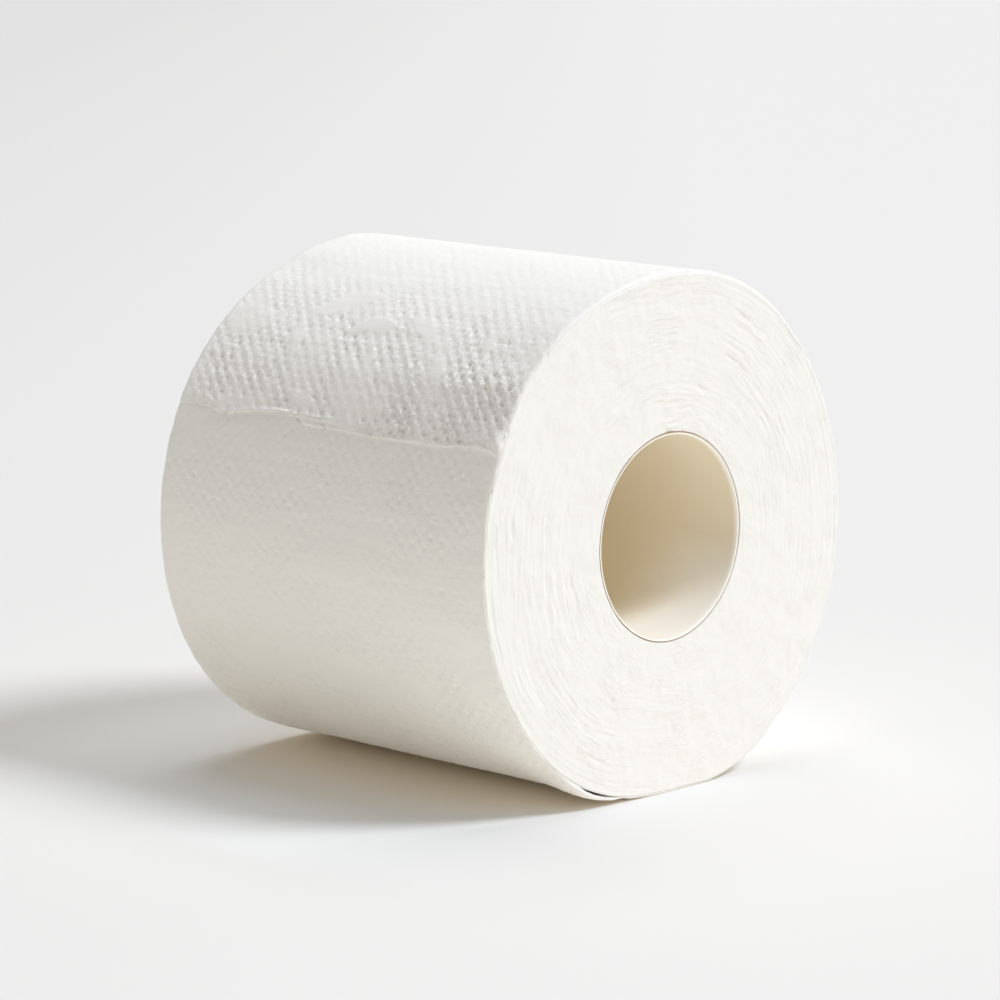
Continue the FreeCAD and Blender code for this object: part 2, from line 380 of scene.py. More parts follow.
def hump(angle, middle, half_span, power):
    """A rounded rise round the roll: (1 - share^2)^power within the half span, and nothing past it."""
    share = wrapped(angle - middle, 360.0) / half_span
    return np.clip(1 - share ** 2, 0, None) ** power


def standing_off(angle, y):
    """How far the loose layers' outer side stands off in mm, fading away from the front end."""
    fading = ramp(y, -HALF_WIDTH + LOOSE_DEPTH, -HALF_WIDTH)
    return LOOSE_HEIGHT * hump(angle, LOOSE_ANGLE, LOOSE_SPAN, 1.5) * fading


def parting(angle, y):
    """How wide the gap is under the loose layers in mm, fading in the same way."""
    fading = ramp(y, -HALF_WIDTH + GAP_DEPTH, -HALF_WIDTH)
    return GAP_HEIGHT * hump(angle, GAP_ANGLE, GAP_SPAN, 0.8) * fading


TEAR_BACK = 1.6               # how much further back the tear is on the far half, in mm
TEAR_TURN = (7.5, 14.5)       # between which places across the web it turns back, in mm
TAIL_WAVES = [
    # middle across the web, width of the bell, how much further back the tear is there, in mm
    (16, 9, 0.55),
    (33, 5, -1.0),
    (-40, 6, 0.55),
    (-51, 4, -1.5),
]


def tail_edge(y):
    """Where the torn tail ends, in mm along the web: two halves, slow waves and a finely uneven tear."""
    edge = -1.75 + TEAR_BACK * ramp(y, *TEAR_TURN)
    for middle, width, depth in TAIL_WAVES:
        edge = edge + depth * bell(y, middle, width)
    return edge + 0.12 * noise(y / 4.0, 0.5, 41) + 0.10 * noise(y / 1.2, 0.5, 42)


def ply_step(y):
    """How much further back the upper ply is torn than the lower one, in mm: most near the middle."""
    return TEAR_BACK * (ramp(y, -11, 3) - ramp(y, *TEAR_TURN))


def tail_lip(from_edge, y):
    """Height of the small folds near the tear in mm, where `from_edge` is the distance from it.

    The upper ply's edge turns out a little in the middle of the far half. Where that ply is torn further
    back, the lower one shows as a strip that lies lower. Further out runs a short crease, and the front
    half has a shallow groove just above the tear, where the plies part. The front corner is folded, and
    the far one is thinned by the tear.
    """
    turned = 0.34 * ramp(y, -2, 5) * ramp(y, 25, 20) * (0.8 + 0.6 * noise(y / 2.6, 0.5, 46))
    crease = 0.22 * bell(y, 40, 3.5) * bell(from_edge, 1.9, 0.55)
    groove = 0.15 * ramp(y, 4, -4) * (0.75 + 0.5 * noise(y / 7.0, 0.5, 48)) * bell(from_edge, 0.95, 0.4)
    corner = 0.55 * ramp(y, -HALF_WIDTH + 5, -HALF_WIDTH) * bell(from_edge, 2.4, 1.3)
    thinned = 0.26 * ramp(y, 34, 41) * ramp(from_edge, 1.6, 0.1)
    upper = from_edge - ply_step(y)
    lip = (turned * (1 - 0.6 * bell(y, 11, 3)) + 0.05) * ramp(upper, 1.2, 0.1)
    strip = ramp(upper, 0.1, -0.3) * ramp(ply_step(y), 0.1, 1.1)
    lower = 0.2 + 0.17 * ramp(from_edge, 0.6, 0.05)
    return lip * (1 - strip) - lower * strip + crease - groove + corner - thinned


def tail_gap(from_edge, y):
    """How far the web has come off the turn below near its end, in mm: a thin gap on the front half."""
    return 0.12 * ramp(y, 4, -8) * ramp(from_edge, 5.0, 0.5) * (0.8 + 0.4 * noise(y / 9.0, 0.5, 47))


RIM_RADIUS = 1.2              # how round the roll's two rims are where they are softest, in mm


def softness(angle):
    """How rounded the rims are, from 0 to 1: fully round over the top, and least low on the tail's side."""
    return 0.3 + 0.7 * np.minimum(1, 1.6 * bump(angle, 50, 75))


def rounding(depth):
    """How far a quarter circle of RIM_RADIUS lies inside its tangent, at a depth from the other tangent."""
    rest = np.clip(RIM_RADIUS - depth, 0, RIM_RADIUS)
    return RIM_RADIUS - np.sqrt(RIM_RADIUS ** 2 - rest ** 2)


def perforation(y):
    """Gap at a line of perforation in mm: long cuts, and short ties where the sheets still meet."""
    cut_pitch, tie = 4.0, 0.8
    from_tie = np.abs(y / cut_pitch - np.round(y / cut_pitch)) * cut_pitch
    return 0.11 * ramp(from_tie, tie / 2, tie / 2 + 0.4) + 0.01


# %% One sheet of the outermost turn
def relief_strength(angle, y):
    """How strong the relief is, about 1 where it is full: less where the roll was pressed in its pack.

    It is full on the two shoulders, more so towards the front end of the first sheet, and slight on the
    top, where the pressed part lies a little askew. Below the tail, where the web is a turn older and
    was drawn tight, it is less than half, and least halfway down.
    """
    turn = angle % 360.0
    askew = turn + 0.12 * (y + 10)
    shoulder = np.maximum(ramp(askew, 100, 160), ramp(turn, 84, 40))
    tight = 0.55 + 0.36 * ramp(turn, 210, 190) - 0.25 * ramp(turn, 182, 164)
    front = (ramp(y, 42, -30) - 0.6) * ramp(angle, 0, 60)
    return 0.15 + (0.95 + 0.6 * front) * shoulder - tight * ramp(angle, -60, -90)


def sheet_surface(along, y, inside=False):
    """Points of the web's outer side, or of its inner side, and how dotted it is there.

    The relief fades towards the two ends, whose cut edges are firm but a little wavy, towards the tear,
    and where the roll rests. The inner side follows the outer one's pits, gaps and folded lip from one
    sheet below.
    """
    angle = angle_at(along)
    height, dots = emboss(along, y)
    from_end = HALF_WIDTH - np.abs(y)
    strength = relief_strength(angle, y)
    above_floor = AXIS_HEIGHT + MEAN_RADIUS * np.sin(np.radians(angle))
    settled = ramp(above_floor, 0.3, 4.0) * (0.12 + 0.88 * ramp(from_end, 0.2, 1.8))
    from_edge = along - tail_edge(y)
    settled = settled * (0.3 + 0.7 * ramp(from_edge - ply_step(y), 0.0, 1.0))
    relief = (height * strength + crumple(along, y) * (0.5 + 0.5 * strength)) * settled
    radius = spiral_radius(along) + tail_gap(from_edge, y)
    if inside:
        lifted = 0.8 * np.clip(tail_lip(from_edge, y), 0, None)
        radius = radius + parting(angle, y) + lifted + np.minimum(relief, 0) - SHEET
        return to_space(angle, radius, y, SHEET), dots * strength
    radius = radius + relief + tail_lip(from_edge, y) + standing_off(angle, y)
    rounded = np.minimum(rounding(from_end) * softness(angle), 0.34) * (1 - 0.5 * ramp(y, 30, 40))
    radius = radius - np.maximum(rounded, 0.15 * ramp(from_end, 0.6, 0.0))
    radius = radius + 0.11 * noise(along / 1.7, y / 9.0, 49) * ramp(from_end, 1.4, 0.2)
    return to_space(angle, radius, y, 0.0), dots * strength


FRONT_LINES = np.array([0.0, 0.2, 0.42])    # the grid's lines next to the front end, in mm from it
FAR_LINES = np.array([0.42, 0.09, 0.0])     # the same at the far end, which is sharper
TORN_ROWS = 16                              # so many lines follow the tear more and more closely
TUCKED_ROWS = 5                             # so many lines more of the third sheet lie under the tail
INNER_STEP = 9                              # the inner side has every ninth line
SET_BACK = 0.33                             # how far a softly rounded rim is set back, in mm


def make_sheet(name, start, end, torn_start=False):
    """One sheet between two lines of perforation, as a closed shell.

    The outer side is a fine grid. The inner side has every ninth line of it each way, and a band of
    triangles round the rim joins the two. The lines next to each end are close together, which rounds
    the cut edge, and they follow its ragged cut.
    """
    rows = int(round((end - start) / GRID))
    line = start + GRID * np.arange(rows + 1)[:, None]
    reach = int(HALF_WIDTH / GRID) - 2
    across = np.arange(-reach, reach + 1) * GRID
    y = np.concatenate([FRONT_LINES - HALF_WIDTH, across, HALF_WIDTH - FAR_LINES])[None, :]
    along = spread(line, y)
    if torn_start:
        stretch = TORN_ROWS * GRID
        share = np.clip((line - start) / stretch, 0, 1)
        along = np.where(share < 1, tail_edge(y) * (1 - share) + (start + stretch) * share, along)
    else:
        along[0] += perforation(y[0]) / 2
    along[-1] -= perforation(y[0]) / 2
    ragged = 0.08 * noise(line / 1.7, 0.5, 44) + 0.10 * noise(line / 6.0, 0.5, 45)
    y_grid = spread(y, along)
    cut = SET_BACK * softness(angle_at(line)) + ragged
    y_grid[:, :len(FRONT_LINES)] += cut
    y_grid[:, -len(FAR_LINES):] -= cut
    outer, dots = sheet_surface(along, y_grid)

    columns = y.shape[1]
    coarse_rows = np.unique(np.append(np.arange(0, rows, INNER_STEP), rows))
    coarse_columns = np.unique(np.append(np.arange(0, columns - 1, INNER_STEP), columns - 1))
    inner, _ = sheet_surface(along, y_grid, inside=True)
    coarse = np.ix_(coarse_rows, coarse_columns)

    points = np.concatenate([outer.reshape(-1, 3), inner[coarse].reshape(-1, 3)])
    place = np.stack([along, y_grid, dots], -1)
    places = np.concatenate([place.reshape(-1, 3), place[coarse].reshape(-1, 3)])
    outer_faces = grid_faces(rows + 1, columns)
    inner_faces = grid_faces(len(coarse_rows), len(coarse_columns))[:, ::-1] + outer.size // 3
    quads = np.concatenate([outer_faces, inner_faces])
    triangles = rim_band(rows + 1, columns, coarse_rows, coarse_columns)
    return make_piece(name, points, quads, triangles, places=places)


def rim_loop(rows, columns):
    """Row and column of every point round the edge of a grid, in order, once round."""
    top = [(0, c) for c in range(columns - 1)]
    right = [(r, columns - 1) for r in range(rows - 1)]
    bottom = [(rows - 1, c) for c in range(columns - 1, 0, -1)]
    left = [(r, 0) for r in range(rows - 1, 0, -1)]
    return np.array(top + right + bottom + left)


def rim_band(rows, columns, coarse_rows, coarse_columns):
    """Triangles that join a fine grid's rim to the rim of the coarse grid made from some of its lines.

    Each fine point is paired with the last coarse point at or before it round the rim. A triangle joins
    each fine step to its coarse point, and another joins each coarse step to the fine point it starts at.
    """
    fine = rim_loop(rows, columns)
    coarse = rim_loop(len(coarse_rows), len(coarse_columns))
    fine_index = fine[:, 0] * columns + fine[:, 1]
    coarse_index = rows * columns + coarse[:, 0] * len(coarse_columns) + coarse[:, 1]
    place_of = {index: place for place, index in enumerate(fine_index)}
    coarse_fine = coarse_rows[coarse[:, 0]] * columns + coarse_columns[coarse[:, 1]]
    coarse_place = np.array([place_of[index] for index in coarse_fine])
    owner = np.searchsorted(coarse_place, np.arange(len(fine)), side="right") - 1
    following = np.roll(fine_index, -1)
    fan = np.stack([following, fine_index, coarse_index[owner]], -1)
    next_coarse = np.roll(coarse_index, -1)
    next_place = np.roll(coarse_place, -1)
    step = np.stack([fine_index[next_place], coarse_index, next_coarse], -1)
    return np.concatenate([fan, step])


TISSUE_SHEETS = [
    make_sheet("outer_sheet_first", 0.0, SHEET_PITCH, torn_start=True),
    make_sheet("outer_sheet_second", SHEET_PITCH, 2 * SHEET_PITCH),
    make_sheet("outer_sheet_third", 2 * SHEET_PITCH, 3 * SHEET_PITCH + TUCKED_ROWS * GRID),
]

# %% [markdown]
# ## The turns below
#
# All the other turns show only their cut edges, on the two ends. They are closed surfaces: a profile that
# runs up one end, along the outside under the outermost turn, down a hidden cut across the roll's middle
# and back along the core, carried round the axis. The two halves are pieces of their own, so that each
# stays light although its end is finely divided. A log saw cuts the roll to width, and leaves the edges
# standing unevenly: short wavy lines that follow the turns, small splits where turns have parted, and
# calmer paper near the core.

# %% The turns below the outermost one
def under_radius(angle):
    """Radius of the winding under the outermost turn, with its hidden step just above the tail."""
    past_tail = (TAIL_ANGLE - 3.5 - angle) % 360.0
    return ROLL_RADIUS - SHEET * past_tail / 360.0 - SHEET


def edge_relief(angle, radius, seed):
    """How far the turns' edges stand out of the end face, in mm.

    Lines follow the turns: noise that changes slowly round the roll and quickly across the turns, on a
    radius that itself wanders. Where one such noise is high, the turns have split: its excess over a
    limit is cut in. A patchy factor makes some stretches busy and others calm. All of it is strongest
    near the top and on the tail's side, and least low on the other side and near the core. The outermost
    turns stand in even rows, with a shallow groove inside the rounded rim.
    """
    wander = 0.9 * noise(angle / 15, radius / 8, seed + 1, wrap=24)
    turn = radius + wander + 0.17 * noise(angle / 2, radius / 2.5, seed + 7, wrap=180)
    patch = np.clip(0.55 + 0.75 * noise(angle / 15, radius / 6, seed + 2, wrap=24), 0.2, 1.05)
    uneven = 0.5 + 1.25 * bump(angle, 86, 42) + 0.55 * bump(angle, 188, 50)
    busy = uneven * patch * (0.75 + 0.25 * ramp(radius, CORE_RADIUS + 2, CORE_RADIUS + 12))
    coarse = 0.09 * noise(angle / 12, turn / 1.3, seed + 3, wrap=30)
    fine = 0.13 * noise(angle / 9, turn / 0.62, seed + 4, wrap=40)
    split = 0.6 * np.clip(noise(angle / 9, turn / 0.75, seed + 5, wrap=40) - 0.5, 0, None)
    swell = 0.08 * noise(angle / 30, radius / 8, seed + 6, wrap=12)
    depth = under_radius(angle) + SHEET - radius
    rows = 0.06 * np.cos(2 * np.pi * depth / 0.9) * ramp(depth, 4.5, 2.0) * patch * uneven
    groove = 0.11 * bell(depth, 1.9, 0.35) * softness(angle)
    return swell + 0.8 * busy * (coarse + fine - split) + rows - groove


HIDDEN_GAP = 0.75             # room under the outermost turn, away from the ends, for its pits, in mm
PLACE_RADIUS = 20             # radius of the circle that gives the material the direction, in mm


def make_turns(name, end, round_steps, edge_rows, seed):
    """Half of the winding below its outermost turn. `end` is -1 for the front end and 1 for the far one.

    The profile starts at the core, climbs the end in `edge_rows` steps, and rounds the rim by setting
    it back. Its outside stays a little below the outermost turn, and the bore closes it.
    """
    angle = np.linspace(0, 360, round_steps, endpoint=False)[None, :]
    outside = under_radius(angle)
    share = np.linspace(0, 1, edge_rows)[:, None]
    edge_radius = CORE_RADIUS + (outside - CORE_RADIUS) * share
    relief = edge_relief(angle, edge_radius, seed) * ramp(share, 1.0, 0.985)
    set_back = rounding(outside + SHEET - edge_radius) * softness(angle) + 0.06 * ramp(share, 1.0, 0.975)
    edge_y = end * (HALF_WIDTH - set_back + relief)
    side_y = end * np.array([HALF_WIDTH - 1.5, HALF_WIDTH - 4, HALF_WIDTH - 10, 24, 0])[:, None]
    under = HIDDEN_GAP * ramp(np.abs(side_y), HALF_WIDTH - 0.5, HALF_WIDTH - 4)
    bore_y = spread(end * np.array([0, 24, HALF_WIDTH - 1.5])[:, None], angle)
    radius = np.concatenate([edge_radius, outside - under, np.full(bore_y.shape, CORE_RADIUS)])
    y = np.concatenate([edge_y, spread(side_y, angle), bore_y])
    points = to_space(angle, radius, y, SHEET)
    turn = np.radians(angle)
    circle = PLACE_RADIUS * np.cos(turn), PLACE_RADIUS * np.sin(turn)
    place = np.stack(np.broadcast_arrays(*circle, radius), -1)
    quads = grid_faces(len(radius), round_steps, close_rows=True, close_columns=True)
    if end > 0:
        quads = quads[:, ::-1]
    return make_piece(name, points.reshape(-1, 3), quads, places=place.reshape(-1, 3))


WOUND_TURNS = [
    make_turns("wound_turns_front", end=-1, round_steps=600, edge_rows=138, seed=50),
    make_turns("wound_turns_far", end=1, round_steps=480, edge_rows=92, seed=60),
]

# %% [markdown]
# ## The cardboard core
#
# The core is a spirally wound tube: an outer ply of brown board and an inner ply of white board, wound on
# a mandrel and cut off with a rotary knife. So its cut end shows two rings, and inside runs a faint
# helical line where the edges of the inner ply's strip meet. Its cut edge is very slightly burred.

# %% The cardboard core
STRIP = 68.0                  # how far the inner ply's seam advances along the tube in one turn


def make_core():
    """The tube as a closed profile carried round the axis, with the seam as a shallow helical groove."""
    round_steps, long_steps = 256, 96
    angle = np.linspace(0, 360, round_steps, endpoint=False)[None, :]
    inside_y = np.linspace(-HALF_WIDTH + 0.25, HALF_WIDTH - 0.25, long_steps)[:, None]
    seam_phase = (inside_y / STRIP - angle / 360.0) % 1.0
    from_seam = np.minimum(seam_phase, 1 - seam_phase) * STRIP
    waviness = 0.04 * noise(angle / 30, inside_y / 16, 80, wrap=12)
    inside = BORE_RADIUS + waviness - 0.05 * bell(from_seam, 0, 0.5)
    burr = 0.05 * noise(angle / 4, 0.5, 81, wrap=90) + 0.08 * noise(angle / 30, 0.5, 82, wrap=12)
    wall = CORE_RADIUS - BORE_RADIUS
    near_end = -HALF_WIDTH + 0.05 + burr
    far_end = HALF_WIDTH - 0.05 + burr
    radii = [np.full(angle.shape, BORE_RADIUS + wall * share) for share in (0.08, 0.3, 0.6, 0.92)]
    near = [near_end + 0.06, near_end, near_end + 0.03, near_end + 0.10]
    far = [far_end - 0.06, far_end, far_end - 0.03, far_end - 0.10]
    outer_y = spread(np.linspace(HALF_WIDTH - 0.4, -HALF_WIDTH + 0.4, 8)[:, None], angle)
    outside = np.full(outer_y.shape, CORE_RADIUS)
    radius = np.concatenate([inside] + radii + [outside] + radii[::-1])
    y = np.concatenate([spread(inside_y, angle)] + far + [outer_y] + near[::-1])
    turn = np.radians(angle)
    points = np.stack([radius * np.cos(turn), y, AXIS_HEIGHT + radius * np.sin(turn)], -1)
    quads = grid_faces(len(radius), round_steps, close_rows=True, close_columns=True)[:, ::-1]
    return make_piece("core_tube_plies", points.reshape(-1, 3), quads)


CORE = make_core()

# %% [markdown]
# ## Materials
#
# Tissue is bleached pulp: a white, slightly warm, very matt paper that lets a little light through. Board
# is denser pulp with a harder, still matt surface. The helpers below keep the materials short: one reads
# a colour as it would be written in a paint program, and the others each add one node, fed by plain
# values or by the outputs of other nodes.

# %% Material helpers
def colour(hex_text):
    """Linear colour of an sRGB hex value: c / 12.92 when dark, else ((c + 0.055) / 1.055) ^ 2.4."""
    channels = np.array([int(hex_text[i:i + 2], 16) / 255 for i in (1, 3, 5)])
    linear = np.where(channels <= 0.04045, channels / 12.92, ((channels + 0.055) / 1.055) ** 2.4)
    return (*linear, 1.0)


def add_node(material, kind, settings=None, inputs=None):
    """Add a node: `settings` are its own properties, `inputs` its values or the sockets that feed it."""
    node = material.node_tree.nodes.new(kind)
    for key, value in (settings or {}).items():
        setattr(node, key, value)
    for key, value in (inputs or {}).items():
        if isinstance(value, bpy.types.NodeSocket):
            material.node_tree.links.new(value, node.inputs[key])
        else:
            node.inputs[key].default_value = value
    return node


def math_of(material, operation, *values, clamp=False):
    """One step of arithmetic on numbers, such as MULTIPLY or MAXIMUM."""
    settings = {"operation": operation, "use_clamp": clamp}
    return add_node(material, "ShaderNodeMath", settings, dict(enumerate(values))).outputs["Value"]


def vector_math(material, operation, *values):
    """The same on vectors. LENGTH and DOT_PRODUCT give a number, the others a vector."""
    node = add_node(material, "ShaderNodeVectorMath", {"operation": operation}, dict(enumerate(values)))
    return node.outputs["Value" if operation in ("LENGTH", "DOT_PRODUCT") else "Vector"]


def rising(material, value, start, end, low=0.0, high=1.0):
    """`low` up to `start`, `high` from `end` on, and a straight line between."""
    return add_node(material, "ShaderNodeMapRange", None,
                    {"Value": value, "From Min": start, "From Max": end,
                     "To Min": low, "To Max": high}).outputs["Result"]


def mixed(material, share, first, second):
    """From `first` at share 0 to `second` at share 1, each a socket or a hex colour."""
    first, second = (colour(end) if isinstance(end, str) else end for end in (first, second))
    return add_node(material, "ShaderNodeMix", {"data_type": "RGBA"},
                    {"Factor": share, "A": first, "B": second}).outputs["Result"]


def cloudy(material, where, size_mm, detail, roughness, distortion=0.0, dimensions="3D"):
    """Noise from 0 to 1, whose largest features are about `size_mm` across."""
    return add_node(material, "ShaderNodeTexNoise", {"noise_dimensions": dimensions},
                    {"Vector": where, "Scale": 1 / (size_mm * MM), "Detail": detail,
                     "Roughness": roughness, "Distortion": distortion}).outputs["Fac"]


def bump_on(material, height, distance_mm, normal=None):
    """A bump of a height socket that goes from 0 to 1 over a distance, on top of another normal if given."""
    inputs = {"Height": height, "Strength": 1.0, "Distance": distance_mm * MM}
    if normal is not None:
        inputs["Normal"] = normal
    return add_node(material, "ShaderNodeBump", None, inputs).outputs["Normal"]


def new_material(name):
    """An empty node material."""
    material = bpy.data.materials.new(name)
    material.use_nodes = True
    material.node_tree.nodes.clear()
    return material


def finish_matt(material, base, roughness, specular, ior=1.5, normal=None):
    """Give the material a matt surface of a base colour, which may be a socket, and its output."""
    inputs = {"Base Color": base, "Roughness": roughness, "IOR": ior, "Specular IOR Level": specular}
    if normal is not None:
        inputs["Normal"] = normal
    shader = add_node(material, "ShaderNodeBsdfPrincipled", None, inputs)
    add_node(material, "ShaderNodeOutputMaterial", None, {"Surface": shader.outputs["BSDF"]})
    return material


def web_place(material):
    """Socket with a point's place on the web, in metres.

    On a sheet its numbers are the distances along and across the web, and how dotted it is there. On the
    winding's ends they are the direction round the axis, as a point on a small circle, and the radius.
    """
    return add_node(material, "ShaderNodeAttribute", {"attribute_name": "web_place"}).outputs["Vector"]


def object_place(material):
    """Socket with a point's place in space, in metres."""
    return add_node(material, "ShaderNodeTexCoord").outputs["Object"]


print("white tissue in linear light:", [round(channel, 3) for channel in colour("#f4f2ee")])

# %% [markdown]
# ### Tissue
#
# Creped tissue is made by scraping the damp sheet off a hot drum, which leaves fine ridges across its
# length, less than a millimetre apart, and short fibres that stand up. Between the pits of the embossing
# the paper is drawn into tiny creases. On the cut ends there are lines that follow the turns instead.
# All of it is the same matt bleached pulp, but the cut ends' white is painted a shade darker, as painted
# shade for the light lost between the turns' edges.

# %% Tissue materials
TISSUE_WHITE = "#f6f5f3"
# Painted shade: the cut ends' white is a shade darker, for the light lost between the turns' edges.
CUT_EDGES_PAINTED_SHADE = "#f2f1ef"         # a shade darker: between the turns' edges a little light is lost


def finish_tissue(material, white, normal):
    """Matt bleached pulp: high roughness and little reflection."""
    return finish_matt(material, colour(white), 0.9, 0.2, ior=1.45, normal=normal)


def creped_tissue():
    """The faces of the web: crepe ridges and fibre clumps all over, and sharp creases where it is dotted."""
    material = new_material("creped_tissue")
    place = add_node(material, "ShaderNodeSeparateXYZ", None, {0: web_place(material)}).outputs
    flat = add_node(material, "ShaderNodeCombineXYZ", None, {"X": place["X"], "Y": place["Y"]}).outputs[0]
    drawn_out = vector_math(material, "MULTIPLY", flat, (1, 0.3, 1))
    fibres = cloudy(material, flat, 2.2, 4.0, 0.6, dimensions="2D")
    crepe = cloudy(material, drawn_out, 0.7, 3.0, 0.6, dimensions="2D")
    creases = cloudy(material, flat, 0.9, 2.5, 0.65, 0.8, dimensions="2D")
    creased = math_of(material, "MULTIPLY", math_of(material, "MULTIPLY", creases, place["Z"]), 1 / MM)
    normal = None
    for height, distance in ((fibres, 0.10), (crepe, 0.04), (creased, 0.30)):
        normal = bump_on(material, height, distance, normal)
    return finish_tissue(material, TISSUE_WHITE, normal)


def cut_turns():
    """The cut edges of the turns: thin lines along the turns, finer than the mesh can hold.

    The noise is looked up at the direction round the axis, stretched a little, and at the radius,
    stretched much, so that it is long round the roll and short across the turns. It comes in patches:
    another noise, a few millimetres wide, takes it from nearly nothing to full.
    """
    material = new_material("cut_edges_of_tissue")
    around, place = web_place(material), object_place(material)
    patches = rising(material, cloudy(material, place, 5, 1.0, 0.5), 0.42, 0.66, 0.15, 1.0)
    normal = bump_on(material, cloudy(material, place, 0.9, 3.0, 0.6), 0.06)
    for length, pitch, distance in ((4.5, 0.6, 0.20), (2.5, 0.4, 0.16)):
        stretch = 2.2 / length / MM
        stretched = vector_math(material, "MULTIPLY", around, (stretch, stretch, 1 / pitch / MM))
        lines = cloudy(material, stretched, 1 / MM, 2.0, 0.55, 0.5)
        normal = bump_on(material, math_of(material, "MULTIPLY", lines, patches), distance, normal)
    return finish_tissue(material, CUT_EDGES_PAINTED_SHADE, normal)


CREPED = creped_tissue()
CUT_TURNS = cut_turns()
for piece in TISSUE_SHEETS:
    piece.data.materials.append(CREPED)
for piece in WOUND_TURNS:
    piece.data.materials.append(CUT_TURNS)
print("tissue materials:", CREPED.name, CUT_TURNS.name)

# %% [markdown]
# ### Core board
#
# The inner ply is bleached, and looks off-white where light falls on it. It is painted palest, as painted
# light, low inside the front end where the softbox shines into the bore, and at its two cut edges, partly
# its own pale cut. The outer ply is plain brown board, and only its cut edge can be seen. The colour
# changes with the distance from the axis, sharply, because the plies are separate sheets.

# %% Core board
# The first colour is the inner ply's own tone, the second a painted lit copy of it, for where light falls.
INNER_PLY, INNER_PLY_PAINTED_LIT, OUTER_PLY = "#efe7d5", "#fffefb", "#a58a63"


def core_board():
    """White inner ply, brown outer ply, with faint fibre flecks and a matt, smoother surface.

    How much painted light the inner ply has goes from 0 to 1: the larger of "near the front end and low",
    where the softbox shines into the bore, and "at a cut edge", with a little more or less at each fleck.
    """
    material = new_material("two_ply_core_board")
    place = object_place(material)
    centred = vector_math(material, "SUBTRACT", place, (0, 0, AXIS_HEIGHT * MM))
    radius = vector_math(material, "LENGTH", vector_math(material, "MULTIPLY", centred, (1, 0, 1)))
    boundary = (BORE_RADIUS + 0.58 * (CORE_RADIUS - BORE_RADIUS)) * MM
    outer = rising(material, radius, boundary - 0.03 * MM, boundary + 0.03 * MM)
    forward = vector_math(material, "DOT_PRODUCT", place, (0, -1, 0))
    downward = vector_math(material, "DOT_PRODUCT", centred, (0.5, 0, -0.866))
    near_end = rising(material, forward, 20 * MM, 36 * MM)
    low = rising(material, downward, 13 * MM, 20 * MM)
    at_cut = rising(material, math_of(material, "ABSOLUTE", forward), 46.6 * MM, 47.5 * MM)
    # Painted light: the inner ply is paler low inside the front end, where the softbox shines in, and at the
    # cut edges.
    pale = math_of(material, "MAXIMUM", math_of(material, "MULTIPLY", near_end, low), at_cut)
    flecks = cloudy(material, place, 1.2, 5.0, 0.7)
    flecked = math_of(material, "MULTIPLY_ADD", flecks, 0.2, -0.1)
    inner = mixed(material, math_of(material, "ADD", pale, flecked, clamp=True), INNER_PLY, INNER_PLY_PAINTED_LIT)
    both = mixed(material, outer, inner, OUTER_PLY)
    return finish_matt(material, both, 0.75, 0.3, normal=bump_on(material, flecks, 0.03))


CORE.data.materials.append(core_board())
print("plies meet", round(0.58 * (CORE_RADIUS - BORE_RADIUS), 2), "mm outside the bore")

# %% [markdown]
# ## Tying the pieces to the part
#
# Every piece rides on the part's one body, and the nodes of the construction model that the pieces stand
# for are hidden.

# %% Tying the pieces to the part
for piece in TISSUE_SHEETS + WOUND_TURNS:
    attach(piece, "root")
    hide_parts("tissue_winding")
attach(CORE, "root")
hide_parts("core_tube")

# %% [markdown]
# ## Stage, light and camera
#
# The roll lies on a plain white sweep. A softbox stands high in front and to the right, a large soft lamp
# hangs overhead, and a pale even sky fills the shadows. The floor seen straight by the camera is a near
# white with painted shade, darker a little to the left and into the distance, and with painted light and
# shade by the roll: paler in its shadow and a warm tan under it. The light that the floor throws back up
# is that of warm white paper.

# %% Stage
FLOOR_HALF = 9000.0                               # half the floor's side, in mm
# Painted shade: the floor darkens from the near colour to the far one towards the back left.
FLOOR_FAR, FLOOR_NEAR = "#dddcdb", "#e9e8e7"      # what the camera sees of it in the open
# Painted light and shade for the camera: a warm tan under the roll, and a paler tone in its shadow.
FLOOR_PAINTED_TAN_SHADE, FLOOR_PAINTED_SHADOW_LIFT = "#f6ebdc", "#eef0f1"  # the same under the roll, and in its shadow
FLOOR_BOUNCE = "#fffaf0"                          # what other surfaces see of it
SHELTER = 60                                      # how far away the roll still shelters it, in mm


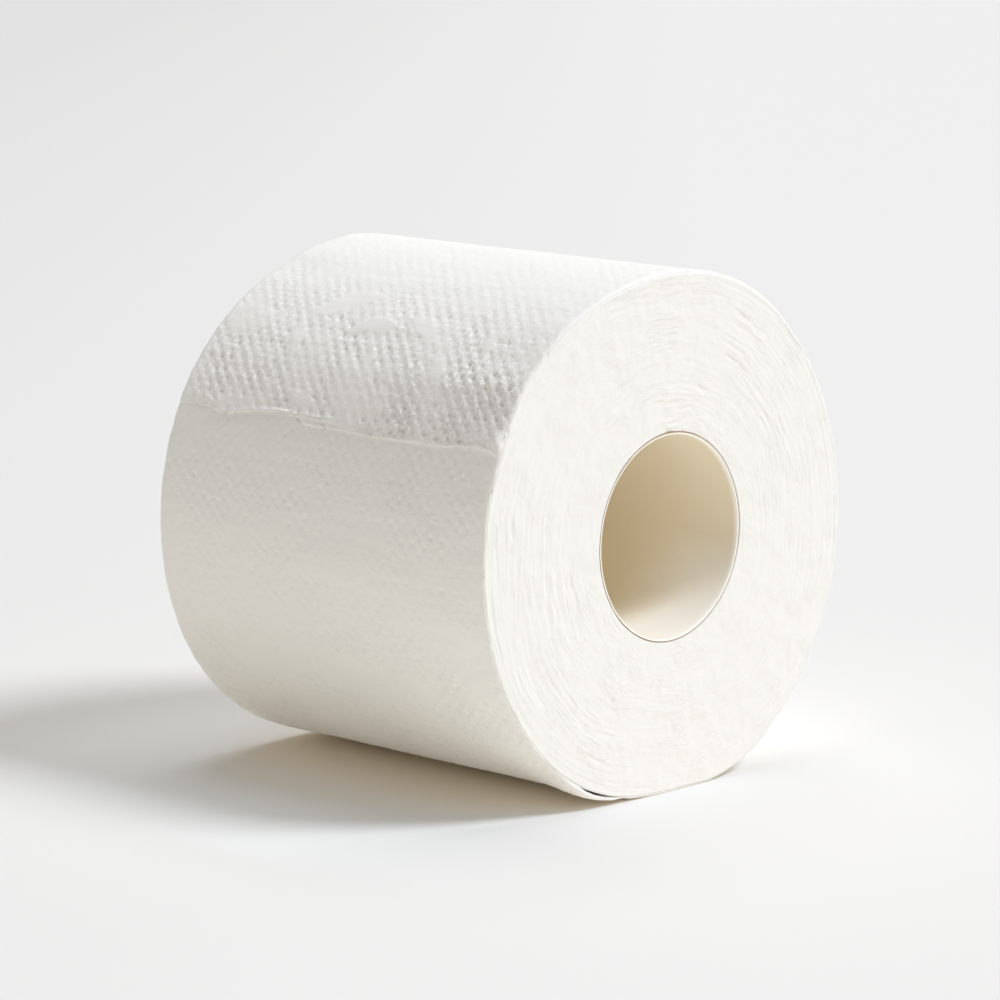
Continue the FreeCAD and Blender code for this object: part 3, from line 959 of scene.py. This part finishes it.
def make_floor():
    """A plain floor, large enough to fill the view to the top.

    The camera sees it nearly neutral, with painted shade darker towards the back left: its tone goes evenly
    along a line across the floor. Where the roll hides the light it is painted paler, as painted light, and
    nearest under the roll painted shade turns it a warm tan, the tone of light that has come through paper.
    For light that bounces on it, it is a warm white.
    """
    half = FLOOR_HALF
    corners = np.array([(-half, -half, 0), (half, -half, 0), (half, half, 0), (-half, half, 0)])
    floor = make_piece("floor", corners, [(0, 1, 2, 3)], smooth=False)
    material = new_material("white_sweep")
    # Painted shade: darker towards the back left, evenly along this line across the floor.
    along_fall = vector_math(material, "DOT_PRODUCT", object_place(material), (0.66, -0.755, 0))
    plain = mixed(material, rising(material, along_fall, -0.45, 0.05), FLOOR_FAR, FLOOR_NEAR)
    # Painted light and shade: paler where the roll shelters the floor from the light, warm tan nearest under
    # it.
    towards_light = add_node(material, "ShaderNodeCombineXYZ", None, {"X": 0.42, "Y": -0.55, "Z": 0.72})
    openness = add_node(material, "ShaderNodeAmbientOcclusion", {"samples": 8},
                        {"Distance": SHELTER * MM, "Normal": towards_light.outputs[0]}).outputs["AO"]
    close = mixed(material, rising(material, openness, 0.25, 0.52), FLOOR_PAINTED_TAN_SHADE, FLOOR_PAINTED_SHADOW_LIFT)
    shaded = mixed(material, rising(material, openness, 0.6, 1.0), close, plain)
    path = add_node(material, "ShaderNodeLightPath").outputs
    mirrored = math_of(material, "MAXIMUM", path["Is Glossy Ray"], path["Is Transmission Ray"])
    seen = math_of(material, "MAXIMUM", path["Is Camera Ray"], mirrored)
    floor.data.materials.append(finish_matt(material, mixed(material, seen, FLOOR_BOUNCE, shaded), 0.9, 0.1))


make_floor()

# %% Light
LAMPS = [
    # name, direction from the roll towards it, how wide it looks in degrees, strength, colour
    ("softbox", (0.46, -0.74, 1.0), 19, 1.94, (0.965, 1.0, 1.055)),
    ("overhead", (0.32, 0.17, 1.0), 48, 1.02, (1.0, 0.993, 0.976)),
]
SKY_COLOUR, SKY_STRENGTH = (1.0, 0.985, 0.955, 1.0), 0.325


def make_light():
    """Two suns as wide as their lamps look from the roll, and a pale even sky."""
    for name, towards, width, strength, tint in LAMPS:
        lamp = bpy.data.lights.new(name, "SUN")
        lamp.energy = strength
        lamp.angle = math.radians(width)
        lamp.color = tint
        sun = bpy.data.objects.new(name, lamp)
        sun.matrix_world = Vector(towards).normalized().to_track_quat("Z", "Y").to_matrix().to_4x4()
        bpy.context.scene.collection.objects.link(sun)
    world = bpy.data.worlds.new("sky")
    world.use_nodes = True
    background = world.node_tree.nodes["Background"]
    background.inputs["Color"].default_value = SKY_COLOUR
    background.inputs["Strength"].default_value = SKY_STRENGTH
    bpy.context.scene.world = world


make_light()

# %% Camera
CAMERA_AZIMUTH = -46.55
CAMERA_ELEVATION = 9.7
CAMERA_DISTANCE = 915.7
AIM_RIGHT, AIM_UP = -0.75, 2.24     # where the camera aims, from the roll's middle, as it sees it, in mm
SENSOR_WIDTH = 36.0
LENS_LENGTH = SENSOR_WIDTH * 4.2466
FAR_CLIP = 30.0                     # in metres


def make_camera():
    """A long lens from the front left and a little above, aimed just above the roll's middle."""
    azimuth, elevation = math.radians(CAMERA_AZIMUTH), math.radians(CAMERA_ELEVATION)
    back = Vector((math.sin(azimuth) * math.cos(elevation),
                   -math.cos(azimuth) * math.cos(elevation),
                   math.sin(elevation)))
    right = Vector((0, 0, 1)).cross(back).normalized()
    middle = Vector((0, 0, AXIS_HEIGHT))
    stand = middle + back * CAMERA_DISTANCE
    aim = middle + right * AIM_RIGHT + back.cross(right) * AIM_UP
    lens = bpy.data.cameras.new("camera")
    lens.sensor_width = SENSOR_WIDTH
    lens.lens = LENS_LENGTH
    lens.clip_end = FAR_CLIP
    camera = bpy.data.objects.new("camera", lens)
    bpy.context.scene.collection.objects.link(camera)
    facing = (stand - aim).to_track_quat("Z", "Y").to_matrix().to_4x4()
    camera.matrix_world = Matrix.Translation(stand * MM) @ facing
    bpy.context.scene.camera = camera


make_camera()
bpy.context.scene.view_settings.view_transform = "Standard"
# White paper hands light on many times, in the bore and in the narrow space under the roll.
bpy.context.scene.cycles.diffuse_bounces = 12
